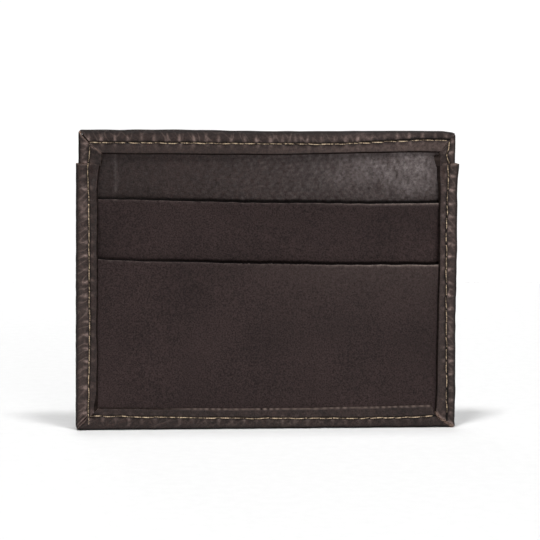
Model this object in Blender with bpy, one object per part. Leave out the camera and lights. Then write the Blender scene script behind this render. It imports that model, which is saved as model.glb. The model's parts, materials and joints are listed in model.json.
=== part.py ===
"""A slim leather card wallet, standing on its bottom edge.

Two alike halves stand back to back with an open-topped centre pocket between them. Each half is a lined
facing with two card pockets on its outside. Three folded leather strips bind the lip, which is the free top of
each half, and three more bind both halves together along the sides and the bottom. Every strip is sewn through
with one row of lockstitch: a needle thread on one face, a bobbin thread on the other.

Frame: +X to the right, -Y to the front, +Z up, origin in the middle of the bottom edge. Units are metres.
A depth is a distance from the middle plane of the wallet, or from the middle of the half's own thickness.
"""

import math

import bmesh
import bpy

MM = 0.001

# Outer sizes
WIDTH = 100.0 * MM
HEIGHT = 77.8 * MM
RIM_TOP = 69.2 * MM  # where the side strips end and the lips begin
LIP_WIDTH = 98.5 * MM

# Thicknesses of the layers, and the gaps between them
LINING = 0.20 * MM
FACING = 0.55 * MM
POCKET = 0.50 * MM
BINDING = 0.50 * MM
GLUE = 0.05 * MM
CARD_GAP = 0.85 * MM  # an ID-1 card is 0.76 thick
CENTRE_GAP = 1.50 * MM

# Folded strips: how far each laps onto the face, and the outer radius of its fold
RIM_LAP = 5.45 * MM
LIP_LAP = 6.0 * MM
EAR_LAP = 5.2 * MM
RIM_FOLD_RADIUS = 1.2 * MM
LIP_FOLD_RADIUS = 0.9 * MM
FOLD_STEPS = 4
MITRE_GAP = 0.10 * MM

# Stitching: how far each row stands in from the wallet's outer edge, and the shallow crease it lies in
SIDE_SEAM = 3.2 * MM
BOTTOM_SEAM = 2.95 * MM
TOP_SEAM = 3.2 * MM
SEAM_X = WIDTH / 2 - SIDE_SEAM
THREAD_RADIUS = 0.15 * MM
STITCH_PITCH = 3.4 * MM
STITCH_CREST = 0.10 * MM
CREASE_DEPTH = 0.20 * MM
CREASE_TOP_HALF = 0.22 * MM
CREASE_FLOOR_HALF = 0.14 * MM
THREAD_END = 0.5 * MM  # how far a thread stops short of its strip's end

# Card pockets: their mouths fall a little from left to right
UPPER_MOUTH_LEFT, UPPER_MOUTH_RIGHT = 60.3 * MM, 59.4 * MM
LOWER_MOUTH_LEFT, LOWER_MOUTH_RIGHT = 44.7 * MM, 43.3 * MM
POCKET_WIDTH = 97.8 * MM
PANEL_WIDTH = 96.6 * MM
PANEL_FOOT = 1.1 * MM
EAR_HEIGHT = 12.0 * MM  # of the upper pocket's full-width part
STEM_WIDTH = 92.0 * MM
STEM_FOOT = 16.3 * MM
FOOT_SEAM_Z = 18.8 * MM
FOOT_SEAM_HEIGHT = 0.6 * MM
FOOT_SEAM_WIDTH = 90.0 * MM

# The lip's living hinge
HINGE_Z = 69.6 * MM
LIP_FOOT = 69.75 * MM
PANEL_TOP = 69.45 * MM
LIP_PANEL_TOP = HEIGHT - BINDING - 0.45 * MM

# Depths of the layers of one half, from the middle plane outwards
LINING_IN = CENTRE_GAP / 2
FACING_IN = LINING_IN + LINING + GLUE
FACING_OUT = FACING_IN + FACING
UPPER_IN = FACING_OUT + CARD_GAP
LOWER_IN = UPPER_IN + POCKET + CARD_GAP
RIM_OUT = LOWER_IN + POCKET + GLUE + BINDING
LIP_IN = LINING_IN - GLUE - BINDING
LIP_OUT = FACING_OUT + GLUE + BINDING
HINGE_DEPTH = FACING_IN + FACING / 2

# The side strips grow thicker downwards, where they take in the pockets
RIM_TOP_OUT = 2.60 * MM
RIM_FULL_Z = 45.2 * MM

# name: (base colour, roughness, metallic)
MATERIALS = {
    "facing_leather": ((0.040, 0.027, 0.023), 0.42, 0.0),
    "pocket_leather": ((0.034, 0.024, 0.021), 0.60, 0.0),
    "binding_leather": ((0.042, 0.029, 0.025), 0.45, 0.0),
    "lining_fabric": ((0.018, 0.014, 0.013), 0.90, 0.0),
    "thread": ((0.420, 0.320, 0.220), 0.70, 0.0),
}


def clear_scene():
    for obj in list(bpy.data.objects):
        bpy.data.objects.remove(obj)


def make_materials():
    made = {}
    for name, (colour, roughness, metallic) in MATERIALS.items():
        material = bpy.data.materials.new(name)
        material.use_nodes = True
        shader = material.node_tree.nodes["Principled BSDF"]
        shader.inputs["Base Color"].default_value = (*colour, 1.0)
        shader.inputs["Roughness"].default_value = roughness
        shader.inputs["Metallic"].default_value = metallic
        made[name] = material
    return made


def add_object(name, data, parent, location=(0, 0, 0), rotation=(0, 0, 0)):
    obj = bpy.data.objects.new(name, data)
    obj.location = location
    obj.rotation_euler = rotation
    obj.parent = parent
    wallet.objects.link(obj)
    return obj


def outline_data(outline, thickness, material):
    """A flat sheet: its outline is (x, z) points, and it is extruded half its thickness each way."""
    data = bpy.data.curves.new("sheet", "CURVE")
    data.dimensions = "2D"
    data.fill_mode = "BOTH"
    data.extrude = thickness / 2
    spline = data.splines.new("POLY")
    spline.points.add(len(outline) - 1)
    for point, (x, z) in zip(spline.points, outline):
        point.co = (x, z, 0, 1)
    spline.use_cyclic_u = True
    data.materials.append(material)
    return data


def sheet(name, data, half, depth):
    """Stands a flat sheet up in its half, its middle at that depth."""
    return add_object(name, data, half, (0, -depth, 0), (math.pi / 2, 0, 0))


def panel_outline(width, foot, top_left, top_right=None):
    x = width / 2
    return [(-x, foot), (x, foot), (x, top_left if top_right is None else top_right), (-x, top_left)]


def tee_outline():
    """The upper pocket: full width under the side strips, and a narrower stem down to its foot."""
    ear, stem = POCKET_WIDTH / 2, STEM_WIDTH / 2
    shoulder = UPPER_MOUTH_RIGHT - EAR_HEIGHT
    return [
        (-stem, STEM_FOOT),
        (stem, STEM_FOOT),
        (stem, shoulder),
        (ear, shoulder),
        (ear, UPPER_MOUTH_RIGHT),
        (-ear, UPPER_MOUTH_LEFT),
        (-ear, shoulder),
        (-stem, shoulder),
    ]


def creased_face(seam, depth, outwards):
    """The seam's crease in one face of a strip: (place across the lap, depth) points from the free edge on."""
    floor = depth - outwards * CREASE_DEPTH
    return [
        (seam - CREASE_TOP_HALF, depth),
        (seam - CREASE_FLOOR_HALF, floor),
        (seam + CREASE_FLOOR_HALF, floor),
        (seam + CREASE_TOP_HALF, depth),
    ]


def fold_arc(fold, radius, depth, outwards):
    """A quarter round from the face at that depth onto the fold."""
    turns = [math.pi / 2 * i / FOLD_STEPS for i in range(FOLD_STEPS + 1)]
    return [
        (fold - radius + radius * math.sin(t), depth - outwards * radius * (1 - math.cos(t)))
        for t in turns
    ]


def strip_section(fold, lap, seam, low, high, radius):
    """The closed section of a folded strip between two depths: (place across the lap, depth) points."""
    free = fold - lap
    outside = [(free, high)] + creased_face(seam, high, 1) + fold_arc(fold, radius, high, 1)
    outside += fold_arc(fold, radius, low, -1)[::-1] + creased_face(seam, low, -1)[::-1] + [(free, low)]
    inner_fold, inner_radius = fold - BINDING, radius - BINDING
    inside = [(free, low + BINDING)] + fold_arc(inner_fold, inner_radius, low + BINDING, -1)
    inside += fold_arc(inner_fold, inner_radius, high - BINDING, 1)[::-1] + [(free, high - BINDING)]
    return outside + inside


def loft(name, sections, material):
    """Joins like-numbered closed sections of (x, y, z) points, one after the other, and caps the two ends."""
    mesh = bpy.data.meshes.new(name)
    bm = bmesh.new()
    rings = [[bm.verts.new(point) for point in section] for section in sections]
    for near, far in zip(rings, rings[1:]):
        for i in range(len(near)):
            j = (i + 1) % len(near)
            bm.faces.new((near[i], near[j], far[j], far[i]))
    bm.faces.new(rings[0][::-1])
    bm.faces.new(rings[-1])
    bmesh.ops.recalc_face_normals(bm, faces=bm.faces)
    bm.to_mesh(mesh)
    bm.free()
    mesh.shade_smooth()
    mesh.set_sharp_from_angle(angle=math.radians(35))
    mesh.materials.append(material)
    return mesh


def lip_mitre(x=None, z=None):
    """The line where a lip's top strip meets its ear strip, from the outer corner to the inner one."""
    x_in, z_in = LIP_WIDTH / 2 - EAR_LAP, HEIGHT - LIP_LAP
    rise = LIP_LAP / EAR_LAP
    return x_in + (z - z_in) / rise if x is None else z_in + (x - x_in) * rise


def top_strip_data(material):
    section = strip_section(HEIGHT, LIP_LAP, HEIGHT - TOP_SEAM, LIP_IN, LIP_OUT, LIP_FOLD_RADIUS)
    ends = [
        [(side * (lip_mitre(z=z) - MITRE_GAP / 2), -depth, z) for z, depth in section]
        for side in (-1, 1)
    ]
    return loft("top_strip", ends, material)


def ear_strip_data(material, side):
    section = strip_section(LIP_WIDTH / 2, EAR_LAP, SEAM_X, LIP_IN, LIP_OUT, LIP_FOLD_RADIUS)
    foot = [(side * x, -depth, LIP_FOOT) for x, depth in section]
    head = [(side * x, -depth, lip_mitre(x=x) - MITRE_GAP / 2) for x, depth in section]
    return loft("ear_strip", [foot, head], material)


def rim_depth(z):
    """How far out the side strips' faces stand at that height."""
    share = min(1.0, (RIM_TOP - z) / (RIM_TOP - RIM_FULL_Z))
    return RIM_TOP_OUT + (RIM_OUT - RIM_TOP_OUT) * share


def side_strip_data(material):
    """The right-hand strip. The left-hand one is the same, turned half a turn about Z."""

    def ring(height_at):
        reach = rim_depth(height_at)
        section = strip_section(WIDTH / 2, RIM_LAP, SEAM_X, -reach, reach, RIM_FOLD_RADIUS)
        return [(x, -depth, height_at) for x, depth in section]

    foot = [(x, y, WIDTH / 2 - x + MITRE_GAP / 2) for x, y, _ in ring(RIM_LAP)]
    return loft("side_strip", [foot, ring(RIM_FULL_Z), ring(RIM_TOP)], material)


def bottom_strip_data(material):
    section = strip_section(0.0, RIM_LAP, -BOTTOM_SEAM, -RIM_OUT, RIM_OUT, RIM_FOLD_RADIUS)
    ends = [
        [(side * (WIDTH / 2 + up - MITRE_GAP / 2), -depth, -up) for up, depth in section]
        for side in (-1, 1)
    ]
    return loft("bottom_strip", ends, material)


def stitched(corners, crest, outwards):
    """Points along a row of stitches through these corners: down at each hole, and up by crest between holes."""
    points = []
    for a, b in zip(corners, corners[1:]):
        stitches = max(1, round(math.dist(a, b) / STITCH_PITCH))
        for i in range(2 * stitches):
            share = i / (2 * stitches)
            x, y, z = (p + (q - p) * share for p, q in zip(a, b))
            points.append((x, y + outwards * crest * (i % 2), z))
    return points + [corners[-1]]


def thread_data(points, material):
    data = bpy.data.curves.new("thread", "CURVE")
    data.dimensions = "3D"
    data.bevel_depth = THREAD_RADIUS
    data.bevel_resolution = 1
    data.use_fill_caps = True
    spline = data.splines.new("POLY")
    spline.points.add(len(points) - 1)
    for point, place in zip(spline.points, points):
        point.co = (*place, 1)
    data.materials.append(material)
    return data


def lip_seam(depth, crest, outwards):
    """The row of stitches round a lip: up one ear, along the top and down the other."""
    top, foot = HEIGHT - TOP_SEAM, LIP_FOOT + THREAD_END
    corners = [(x, -depth, z) for x, z in ((-SEAM_X, foot), (-SEAM_X, top), (SEAM_X, top), (SEAM_X, foot))]
    return stitched(corners, crest, outwards)


def rim_seam(front):
    """The row of stitches down the left side, along the bottom and up the right side, on the front or the back."""
    heights = [RIM_TOP - THREAD_END, RIM_FULL_Z, BOTTOM_SEAM]
    left = [(-SEAM_X, front * rim_depth(z), z) for z in heights]
    right = [(SEAM_X, y, z) for _, y, z in left[::-1]]
    return stitched(left + right, STITCH_CREST, front)


def box_data(name, size, material):
    mesh = bpy.data.meshes.new(name)
    bm = bmesh.new()
    bmesh.ops.create_cube(bm, size=1.0)
    bmesh.ops.scale(bm, vec=size, verts=bm.verts)
    bm.to_mesh(mesh)
    bm.free()
    mesh.materials.append(material)
    return mesh


def half_data(materials):
    """The meshes and curves of one half, which the front and the back share."""
    facing, pocket, binding = (materials[k] for k in ("facing_leather", "pocket_leather", "binding_leather"))
    lining, thread = materials["lining_fabric"], materials["thread"]
    main = panel_outline(PANEL_WIDTH, PANEL_FOOT, PANEL_TOP)
    lip = panel_outline(PANEL_WIDTH, LIP_FOOT, LIP_PANEL_TOP)
    lower = panel_outline(POCKET_WIDTH, PANEL_FOOT, LOWER_MOUTH_LEFT, LOWER_MOUTH_RIGHT)
    seam_size = (FOOT_SEAM_WIDTH, CARD_GAP - 2 * GLUE, FOOT_SEAM_HEIGHT)
    return {
        "lining": outline_data(main, LINING, lining),
        "facing": outline_data(main, FACING, facing),
        "upper_pocket": outline_data(tee_outline(), POCKET, pocket),
        "foot_seam": box_data("foot_seam", seam_size, thread),
        "lower_pocket": outline_data(lower, POCKET, pocket),
        "lip_lining": outline_data(lip, LINING, lining),
        "lip_facing": outline_data(lip, FACING, facing),
        "top_binding": top_strip_data(binding),
        "ear_binding": {side: ear_strip_data(binding, side) for side in (-1, 1)},
        "lip_needle_thread": thread_data(lip_seam(LIP_OUT, STITCH_CREST, -1), thread),
        "lip_bobbin_thread": thread_data(lip_seam(LIP_IN, 0.0, 1), thread),
    }


def build_half(prefix, turn, data):
    """One half. The back is the front turned half a turn about Z, so its sides swap names."""
    half = add_object(f"{prefix}_half", None, None, rotation=(0, 0, turn))
    sheet(f"{prefix}_lining", data["lining"], half, LINING_IN + LINING / 2)
    sheet(f"{prefix}_facing", data["facing"], half, FACING_IN + FACING / 2)
    sheet(f"{prefix}_upper_pocket", data["upper_pocket"], half, UPPER_IN + POCKET / 2)
    add_object(f"{prefix}_foot_seam", data["foot_seam"], half, (0, -(FACING_OUT + CARD_GAP / 2), FOOT_SEAM_Z))
    sheet(f"{prefix}_lower_pocket", data["lower_pocket"], half, LOWER_IN + POCKET / 2)

    hinge = add_object(f"{prefix}_lip_hinge", None, half, (0, -HINGE_DEPTH, HINGE_Z))
    lip = add_object(f"{prefix}_lip", None, hinge, (0, HINGE_DEPTH, -HINGE_Z))
    sheet(f"{prefix}_lip_lining", data["lip_lining"], lip, LINING_IN + LINING / 2)
    sheet(f"{prefix}_lip_facing", data["lip_facing"], lip, FACING_IN + FACING / 2)
    add_object(f"{prefix}_top_binding", data["top_binding"], lip)
    for side, mesh in data["ear_binding"].items():
        world_side = "right" if (side > 0) == (turn == 0) else "left"
        add_object(f"{prefix}_{world_side}_ear_binding", mesh, lip)
    add_object(f"{prefix}_lip_needle_thread", data["lip_needle_thread"], lip)
    add_object(f"{prefix}_lip_bobbin_thread", data["lip_bobbin_thread"], lip)


def build_rim(materials):
    """The three strips and the two threads that hold the halves together."""
    binding, thread = materials["binding_leather"], materials["thread"]
    side_strip = side_strip_data(binding)
    add_object("right_side_binding", side_strip, None)
    add_object("left_side_binding", side_strip, None, rotation=(0, 0, math.pi))
    add_object("bottom_binding", bottom_strip_data(binding), None)
    add_object("rim_needle_thread", thread_data(rim_seam(-1), thread), None)
    add_object("rim_bobbin_thread", thread_data(rim_seam(1), thread), None)


clear_scene()
wallet = bpy.data.collections.new("card_wallet")
bpy.context.scene.collection.children.link(wallet)
all_materials = make_materials()
shared = half_data(all_materials)
build_half("front", 0.0, shared)
build_half("back", math.pi, shared)
build_rim(all_materials)
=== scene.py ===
"""The looks of a slim leather card wallet: worn brown leather, tan lockstitching and a dark fabric lining.

Shapes are worked out in millimetres and become metres where a mesh is made. A depth is counted outwards from
the wallet's middle plane. The back half is the front half turned half a turn about Z, with other random
numbers.
"""

import json
import math

import bmesh
import bpy
import numpy as np
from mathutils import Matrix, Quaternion, Vector


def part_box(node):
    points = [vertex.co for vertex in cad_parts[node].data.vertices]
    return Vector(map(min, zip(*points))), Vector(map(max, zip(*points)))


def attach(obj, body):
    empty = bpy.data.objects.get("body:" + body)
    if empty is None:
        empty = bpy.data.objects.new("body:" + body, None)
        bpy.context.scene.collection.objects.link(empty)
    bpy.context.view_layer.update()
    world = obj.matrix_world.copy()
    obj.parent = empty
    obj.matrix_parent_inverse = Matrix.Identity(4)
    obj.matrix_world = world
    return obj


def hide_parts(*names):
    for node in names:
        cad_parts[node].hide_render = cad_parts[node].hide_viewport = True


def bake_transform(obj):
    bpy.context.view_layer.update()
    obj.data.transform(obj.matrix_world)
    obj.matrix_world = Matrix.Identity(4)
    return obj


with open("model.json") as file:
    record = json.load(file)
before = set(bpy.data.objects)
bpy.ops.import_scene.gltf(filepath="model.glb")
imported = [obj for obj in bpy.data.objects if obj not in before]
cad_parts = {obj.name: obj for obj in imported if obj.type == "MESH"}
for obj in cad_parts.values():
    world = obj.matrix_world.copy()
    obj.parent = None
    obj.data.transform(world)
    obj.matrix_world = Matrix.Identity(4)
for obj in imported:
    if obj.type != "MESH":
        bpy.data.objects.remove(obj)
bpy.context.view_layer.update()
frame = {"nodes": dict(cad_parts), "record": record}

# ------------------------ sizes, from the frame


def span(node):
    """Lowest and highest corner of a CAD node, in mm."""
    low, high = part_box(node)
    return np.array(low) * 1000, np.array(high) * 1000


def cad_points(node):
    """The points of a CAD node, in mm, one row each."""
    return np.array([v.co for v in frame["nodes"][node].data.vertices]) * 1000


def mouth_ends(node):
    """How high a pocket's mouth is at its left end and at its right end."""
    points = cad_points(node)
    return points[points[:, 0] < 0, 2].max(), points[points[:, 0] > 0, 2].max()


THREAD_RADIUS = 0.15  # of the CAD's threads
side_low, side_high = span("right_side_binding")
top_low, top_high = span("front_top_binding")
ear_low, ear_high = span("front_right_ear_binding")
facing_low, facing_high = span("front_facing")
lining_low, lining_high = span("front_lining")
upper_low, upper_high = span("front_upper_pocket")
lower_low, lower_high = span("front_lower_pocket")
foot_low, foot_high = span("front_foot_seam")

HALF_WIDTH, RIM_TOP, RIM_REACH = side_high[0], side_high[2], side_high[1]
RIM_LAP = side_high[0] - side_low[0]
LIP_HALF, LIP_FOOT, HEIGHT = ear_high[0], ear_low[2], top_high[2]
LIP_IN, LIP_OUT = -top_high[1], -top_low[1]
LIP_LAP = top_high[2] - top_low[2]
SEAM_X = span("rim_needle_thread")[1][0] - THREAD_RADIUS
BOTTOM_SEAM = span("rim_needle_thread")[0][2] + THREAD_RADIUS
TOP_SEAM = span("front_lip_needle_thread")[1][2] - THREAD_RADIUS
UPPER_MOUTH, LOWER_MOUTH = mouth_ends("front_upper_pocket"), mouth_ends("front_lower_pocket")
PANEL_TOP = span("front_lip_facing")[1][2]
HINGE_Z = frame["record"]["behaviour"]["joints"][0]["pos_m"][2] * 1000

side_points = cad_points("right_side_binding")
TOP_REACH = side_points[side_points[:, 2] > RIM_TOP - 0.01, 1].max()
FULL_Z = side_points[side_points[:, 1] > RIM_REACH - 0.01, 2].max()

LEATHER = 0.5  # how thick the strips' leather is
RIM_FOLD, LIP_FOLD = 1.2, 0.9  # how round the strips are folded
PITCH = 3.4  # from stitch to stitch
MITRE_GAP = 0.10  # between two strips that meet at a corner
SHEET_INSET = 0.05  # how far a sheet stays in from the sides of its CAD node
WALLET = "wallet"


def rim_reach(z, across):
    """How far out the side strips' faces stand. The thickening towards the pockets starts and ends softly,
    and inside the seam the strips' heads run out level with the ears."""
    ends = ([FULL_Z, RIM_TOP], [RIM_REACH, TOP_REACH])
    reach = sum(np.interp(z + shift, *ends) for shift in (-3, 0, 3)) / 3
    inside = ease((-across - RIM_LAP + 2.0) / 1.2)
    return reach - (reach - LIP_OUT - 0.03) * ease((z - RIM_TOP + 6.0) / 5.4) * inside


# ------------------------ random but repeatable fields


def ripple(seed, wavelength, *places):
    """A smooth random field, mostly between -1 and 1, with features about that many mm long."""
    rng = np.random.default_rng(seed)
    total = 0.0
    waves = 9
    for _ in range(waves):
        direction = rng.normal(size=len(places))
        direction *= 2 * math.pi / wavelength * rng.uniform(0.5, 1.6) / np.linalg.norm(direction)
        total = total + np.sin(sum(d * p for d, p in zip(direction, places)) + rng.uniform(0, 2 * math.pi))
    return total / math.sqrt(waves)


def bump(x, centre, width):
    """A smooth hump of height 1."""
    return np.exp(-(((x - centre) / width) ** 2))


def ease(x):
    """0 below 0, 1 above 1 and smooth between."""
    t = np.clip(x, 0, 1)
    return t * t * (3 - 2 * t)


def round_corner(points, side, up, corner_x, corner_z, radius):
    """Draws the points of a square corner in onto a round one. Side and up say which corner, as 1 or -1."""
    inner_x, inner_z = side * corner_x - radius, up * corner_z - radius
    a = np.clip((side * points[..., 0] - inner_x) / radius, 0, None)
    b = np.clip((up * points[..., 2] - inner_z) / radius, 0, None)
    pull = 0.5 * np.minimum(a, 1) ** 2 * np.minimum(b, 1) ** 2
    shrink = np.sqrt(1 - np.minimum(pull / np.maximum(np.maximum(a, b) ** 2, 1e-9), 0.75))
    points[..., 0] -= side * radius * a * (1 - shrink)
    points[..., 2] -= up * radius * b * (1 - shrink)


# ------------------------ materials


def linear(*values):
    """A colour given as 0 to 255 on a screen, as the shader wants it."""
    return (*[((v / 255 + 0.055) / 1.055) ** 2.4 if v > 10 else v / 255 / 12.92 for v in values], 1.0)


PAINTED_SHADE_COLOUR, THREAD_SHADE_COLOUR = linear(9, 6, 5), linear(52, 38, 30)  # near-black mixed into leather as painted shade and other darkening, and dark brown painted on thread as shade in its holes
YARN = 0.35  # from yarn to yarn of the lining


class Graph:
    """A material and its nodes."""

    def __init__(self, name):
        self.material = bpy.data.materials.new(name)
        self.material.use_nodes = True
        self.tree = self.material.node_tree
        self.shader = self.tree.nodes["Principled BSDF"]
        self.place = self.tree.nodes.new("ShaderNodeTexCoord").outputs["Object"]

    def node(self, kind, settings=None, **inputs):
        made = self.tree.nodes.new(kind)
        for key, value in (settings or {}).items():
            setattr(made, key, value)
        for key, value in inputs.items():
            self.feed(made.inputs[key.replace("_", " ")], value)
        return made

    def feed(self, socket, value):
        if isinstance(value, bpy.types.NodeSocket):
            self.tree.links.new(value, socket)
        else:
            socket.default_value = value

    def noise(self, size_mm, detail=2.0, roughness=0.5, place=None):
        """A noise from 0 to 1 whose features are about that many mm."""
        made = self.node("ShaderNodeTexNoise", Vector=place or self.place, Scale=1000 / size_mm)
        made.inputs["Detail"].default_value = detail
        made.inputs["Roughness"].default_value = roughness
        return made.outputs["Fac"]

    def ramp(self, value, *stops):
        """Maps 0 to 1 through (position, level) stops."""
        made = self.node("ShaderNodeValToRGB", Fac=value)
        elements = made.color_ramp.elements
        while len(elements) < len(stops):
            elements.new(0.5)
        for element, (position, level) in zip(elements, stops):
            element.position = position
            element.color = (level, level, level, 1)
        return made.outputs["Color"]

    def math(self, kind, a, b):
        made = self.tree.nodes.new("ShaderNodeMath")
        made.operation = kind
        self.feed(made.inputs[0], a)
        self.feed(made.inputs[1], b)
        return made.outputs[0]

    def mix(self, share, a, b, kind="MIX"):
        made = self.tree.nodes.new("ShaderNodeMix")
        made.data_type = "RGBA"
        made.blend_type = kind
        self.feed(made.inputs[0], share)
        self.feed(made.inputs[6], a)
        self.feed(made.inputs[7], b)
        return made.outputs[2]

    def attribute(self, name):
        return self.node("ShaderNodeAttribute", {"attribute_name": name}).outputs["Fac"]

    def bumped(self, *heights):
        """Stacks (height, depth in mm) bumps onto the shader's normal."""
        normal = None
        for height, depth in heights:
            made = self.node("ShaderNodeBump", Height=height, Distance=depth / 1000, Strength=1.0)
            if normal is not None:
                self.feed(made.inputs["Normal"], normal)
            normal = made.outputs["Normal"]
        self.feed(self.shader.inputs["Normal"], normal)

    def finish(self, colour, roughness, specular=0.5, sheen=0.0):
        self.feed(self.shader.inputs["Base Color"], colour)
        self.feed(self.shader.inputs["Roughness"], roughness)
        self.shader.inputs["Specular IOR Level"].default_value = specular
        self.shader.inputs["Sheen Weight"].default_value = sheen
        self.shader.inputs["Sheen Roughness"].default_value = 0.5
        return self.material


def leather(name, colour, worn, roughness, grain, mottled, specular):
    """Finished leather: mottled colour and a pebbled grain with fine pores. It is paler and smoother where
    its wear mark says, which is real wear and painted highlights and sheen, and darker and duller where its
    crease mark says, which is painted shade in seams, folds and pocket mouths, and some other darkening."""
    g = Graph(name)
    patches = g.ramp(g.noise(17, 3), (0.3, 0.82), (0.7, 1.18))
    mottle = g.ramp(g.noise(1.1, 4, 0.75), (0.3, 1 - mottled), (0.7, 1 + mottled))
    speck = g.ramp(g.noise(0.38, 3, 0.8), (0.36, 0.40), (0.64, 1.60))
    base = colour
    for layer in (patches, mottle, speck):
        base = g.mix(1.0, base, layer, "MULTIPLY")
    patchy = g.ramp(g.noise(0.8, 4, 0.75), (0.32, 0.25), (0.66, 1.25))
    wear = g.math("MULTIPLY", g.attribute("wear"), patchy)
    painted_shade_and_darkening = g.attribute("crease")
    # The wear mark mixes in the worn colour, real wear and painted highlights; the crease mark mixes in
    # near-black painted shade.
    base = g.mix(painted_shade_and_darkening, g.mix(wear, base, worn), PAINTED_SHADE_COLOUR)
    cells = g.node("ShaderNodeTexVoronoi", {"feature": "SMOOTH_F1"}, Vector=g.place, Scale=1000 / 0.75)
    pebbles = g.ramp(cells.outputs["Distance"], (0.0, 1.0), (0.75, 0.0))
    folds, pores = g.noise(2.6, 3), g.noise(0.6, 4, 0.75)
    g.bumped((folds, 0.10 * grain), (pebbles, 0.035 * grain), (pores, 0.11 * grain))
    level = g.ramp(g.noise(0.9, 3, 0.6), (0.3, roughness - 0.07), (0.7, roughness + 0.07))
    worn_level = g.math("SUBTRACT", level, g.math("MULTIPLY", wear, 0.12))
    return g.finish(base, g.math("ADD", worn_level, g.math("MULTIPLY", painted_shade_and_darkening, 0.5)), specular)


def cut_leather(name, dark, pale, worn=None):
    """The fibrous edge or flesh side of leather, paler where its wear mark says: wear, and a painted
    highlight on the bottom strip's free edge.
    """
    g = Graph(name)
    fibres = g.noise(0.45, 4, 0.8)
    colour = g.mix(g.ramp(fibres, (0.40, 0.0), (0.62, 1.0)), dark, pale)
    if worn:
        colour = g.mix(g.attribute("wear"), colour, worn)
    g.bumped((fibres, 0.10))
    return g.finish(colour, 0.9, 0.05)


def thread_material(name, dark, pale):
    """Waxed polyester thread: fine filaments, and darker with painted shade where it lies in its hole."""
    g = Graph(name)
    fibres = g.noise(0.12, 3, 0.7)
    base = g.mix(g.ramp(g.noise(0.9, 3, 0.7), (0.42, 0.0), (0.58, 1.0)), dark, pale)
    # Painted shade: the thread's wear mark says how deep it sinks into its hole.
    base = g.mix(g.math("MULTIPLY", g.attribute("wear"), 0.75), base, THREAD_SHADE_COLOUR)
    g.bumped((fibres, 0.05))
    return g.finish(base, g.ramp(fibres, (0.3, 0.5), (0.7, 0.75)), 0.3, 0.15)


def lining_material(name, dark, pale):
    """Plain-woven lining cloth."""
    g = Graph(name)
    waves = []
    scale = 1000 / YARN / 3.14
    for axis in ("X", "Z"):
        made = g.node("ShaderNodeTexWave", {"bands_direction": axis}, Vector=g.place, Scale=scale)
        made.inputs["Distortion"].default_value = 0.6
        made.inputs["Detail"].default_value = 1.0
        waves.append(made.outputs["Fac"])
    weave = g.math("MULTIPLY", waves[0], waves[1])
    tone = g.ramp(g.noise(6, 3), (0.3, 0.8), (0.7, 1.2))
    base = g.mix(1.0, g.mix(weave, dark, pale), tone, "MULTIPLY")
    g.bumped((weave, 0.04))
    return g.finish(base, g.ramp(g.noise(1.5, 2), (0.3, 0.75), (0.7, 0.9)), 0.2, 0.2)


def floor_material(name):
    """Matte white studio paper."""
    g = Graph(name)
    tone = g.ramp(g.noise(3, 3), (0.3, 0.625), (0.7, 0.645))
    return g.finish(tone, 0.9, 0.0)


# The second colour of each leather is where its wear mark takes it: real wear, and also painted highlights
# and sheen, such as the facing's pale grey.
FACING = leather("facing_leather", linear(45, 34, 32), linear(126, 117, 116), 0.42, 2.7, 0.40, 0.18)
POCKET = leather("pocket_leather", linear(46, 35, 34), linear(110, 97, 92), 0.60, 1.3, 0.15, 0.13)
BINDING = leather("binding_leather", linear(43, 31, 28), linear(142, 121, 114), 0.40, 2.3, 0.46, 0.25)
FLESH = cut_leather("flesh_side", linear(34, 25, 22), linear(56, 44, 38))
# Near-black cut edges of sheets: painted shade for the dark gap at a pocket's mouth.
PAINTED_SHADE_EDGE = cut_leather("painted_shade_edge", linear(4, 3, 3), linear(8, 6, 5))
# The strips' slanting free edges: near-black as painted shade for the gap beside them, and paler where the
# wear mark says: wear, and on the bottom strip a painted highlight.
BRIM_SHADE_AND_HIGHLIGHT_EDGE = cut_leather("brim_shade_and_highlight_edge", linear(10, 7, 6), linear(28, 19, 17), linear(150, 132, 124))
EDGE_RAW = cut_leather("raw_edge", linear(30, 21, 17), linear(172, 146, 132))
TAN_THREAD = thread_material("tan_thread", linear(84, 68, 53), linear(206, 182, 152))
LINING = lining_material("lining_cloth", linear(24, 19, 18), linear(52, 43, 40))

# ------------------------ meshes


def grid_faces(index, flip=False):
    """Quads over a grid of vertex numbers."""
    a, b, c, d = index[:-1, :-1], index[:-1, 1:], index[1:, 1:], index[1:, :-1]
    quads = np.stack([a, b, c, d], -1).reshape(-1, 4)
    return quads[:, ::-1] if flip else quads


def mesh_object(name, points, faces, slots, materials, marks):
    """A mesh of points in mm, with one material number per face. Marks say how pale each point is, from wear
    and painted highlights, and how dark, from painted shade and other darkening.
    """
    mesh = bpy.data.meshes.new(name)
    mesh.from_pydata((points / 1000).tolist(), [], faces.tolist())
    for material in materials:
        mesh.materials.append(material)
    mesh.polygons.foreach_set("material_index", slots.astype(np.int32))
    for mark, values in marks.items():
        mesh.attributes.new(mark, "FLOAT", "POINT").data.foreach_set("value", values.astype(np.float32))
    bm = bmesh.new()
    bm.from_mesh(mesh)
    bmesh.ops.recalc_face_normals(bm, faces=bm.faces)
    bm.to_mesh(mesh)
    bm.free()
    mesh.shade_smooth()
    mesh.set_sharp_from_angle(angle=math.radians(50))
    obj = bpy.data.objects.new(name, mesh)
    bpy.context.scene.collection.objects.link(obj)
    return obj


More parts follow.
